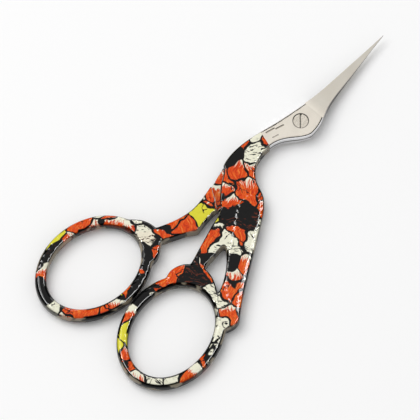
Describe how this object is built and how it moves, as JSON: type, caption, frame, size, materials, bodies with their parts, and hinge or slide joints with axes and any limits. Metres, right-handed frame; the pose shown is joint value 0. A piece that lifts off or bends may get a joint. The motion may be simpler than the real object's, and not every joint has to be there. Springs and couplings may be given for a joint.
{
  "type": "embroidery_scissors",
  "caption": "Stork shaped embroidery scissors: slim pointed blades form the bill, a slotted pivot screw the eye, and long legs end in oval finger rings",
  "frame": {"origin": "On the pivot screw's axis, in the plane of the rear half's back face, on which the scissors rest", "axes": "+X runs from the pivot towards the blade tips, +Y towards the rear half's finger ring, +Z is the pivot axis, from the back face towards the screw's head"},
  "size_m": [0.1153, 0.0528, 0.0044],
  "materials": {
    "steel": "satin brushed blade steel with polished rims",
    "handle_film": "glossy clear coated print in orange, cream and black patches",
    "screw_steel": "bright turned steel with a slot"
  },
  "bodies": {
    "rear": {"rear_half": "steel", "rear_handle_film": "handle_film", "pivot_screw": "screw_steel"},
    "front": {"front_half": "steel", "front_handle_film": "handle_film"}
  },
  "joints": [
    {"name": "pivot", "type": "hinge", "parent": "rear", "child": "front", "pos_m": [0, 0, 0], "axis": [0, 0, 1], "range_deg": [0, 60]}
  ]
}
